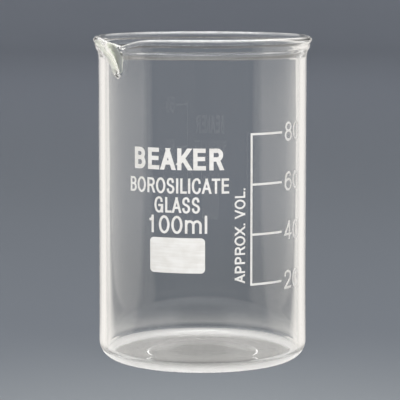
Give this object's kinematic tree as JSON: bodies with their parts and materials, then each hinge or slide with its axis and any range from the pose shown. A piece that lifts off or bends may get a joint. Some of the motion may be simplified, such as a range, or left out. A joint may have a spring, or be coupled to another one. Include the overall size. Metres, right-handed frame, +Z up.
{
  "type": "laboratory beaker",
  "caption": "Low straight-sided laboratory beaker in clear borosilicate glass, with a beaded rim, a pressed pouring spout and a white enamel volume scale and marking spot.",
  "frame": {"origin": "centre of the foot, on the plane that the beaker stands on", "axes": "+Z up along the bore; -Y towards the printed side; the spout points between -X and -Y"},
  "size_m": [0.0522, 0.0522, 0.0777],
  "materials": {
    "borosilicate_glass": "clear, fire polished, with a faint warm green tint in thick glass",
    "white_enamel": "opaque white fired enamel, satin"
  },
  "bodies": {
    "root": {"capacity_01": "white_enamel", "capacity_02": "white_enamel", "capacity_03": "white_enamel", "capacity_04": "white_enamel", "capacity_one": "white_enamel", "figures_20_01": "white_enamel", "figures_20_02": "white_enamel", "figures_40_01": "white_enamel", "figures_40_02": "white_enamel", "figures_60_01": "white_enamel", "figures_60_02": "white_enamel", "figures_80_01": "white_enamel", "figures_80_02": "white_enamel", "glass_body": "borosilicate_glass", "legend_01": "white_enamel", "legend_02": "white_enamel", "legend_03": "white_enamel", "legend_04": "white_enamel", "legend_05": "white_enamel", "legend_06": "white_enamel", "legend_07": "white_enamel", "legend_08": "white_enamel", "legend_09": "white_enamel", "legend_10": "white_enamel", "legend_11": "white_enamel", "marking_spot": "white_enamel", "scale_line": "white_enamel", "word_beaker_01": "white_enamel", "word_beaker_02": "white_enamel", "word_beaker_03": "white_enamel", "word_beaker_04": "white_enamel", "word_beaker_05": "white_enamel", "word_beaker_06": "white_enamel", "word_borosilicate_01": "white_enamel", "word_borosilicate_02": "white_enamel", "word_borosilicate_03": "white_enamel", "word_borosilicate_04": "white_enamel", "word_borosilicate_05": "white_enamel", "word_borosilicate_06": "white_enamel", "word_borosilicate_07": "white_enamel", "word_borosilicate_08": "white_enamel", "word_borosilicate_09": "white_enamel", "word_borosilicate_10": "white_enamel", "word_borosilicate_11": "white_enamel", "word_borosilicate_12": "white_enamel", "word_glass_01": "white_enamel", "word_glass_02": "white_enamel", "word_glass_03": "white_enamel", "word_glass_04": "white_enamel", "word_glass_05": "white_enamel"}
  },
  "joints": []
}
